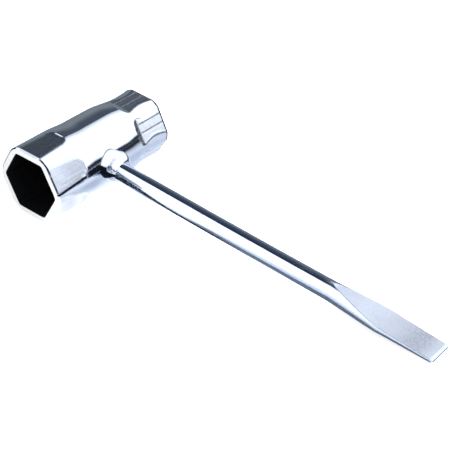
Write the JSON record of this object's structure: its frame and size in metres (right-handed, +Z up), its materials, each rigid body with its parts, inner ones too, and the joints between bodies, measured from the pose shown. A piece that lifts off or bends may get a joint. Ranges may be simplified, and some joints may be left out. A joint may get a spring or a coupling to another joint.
{
  "type": "spark plug wrench",
  "caption": "T-shaped spark plug wrench: a plated steel tube with a hexagon socket in each end and a welded round bar handle that is forged flat into a screwdriver blade.",
  "frame": {"origin": "centre of the underside of the bounding box, on the bench", "axes": "+X along the tube from the large socket to the small one, +Y from the blade's tip towards the tube, +Z up from the bench"},
  "size_m": [0.052, 0.1484, 0.026],
  "materials": {
    "tube_plating": "bright plated steel",
    "bar_plating": "bright plated steel, satin on the forged blade",
    "weld_plating": "plated weld metal, slightly uneven"
  },
  "bodies": {
    "root": {"socket_tube": "tube_plating", "handle_bar": "bar_plating", "weld_collar": "weld_plating"}
  },
  "joints": []
}
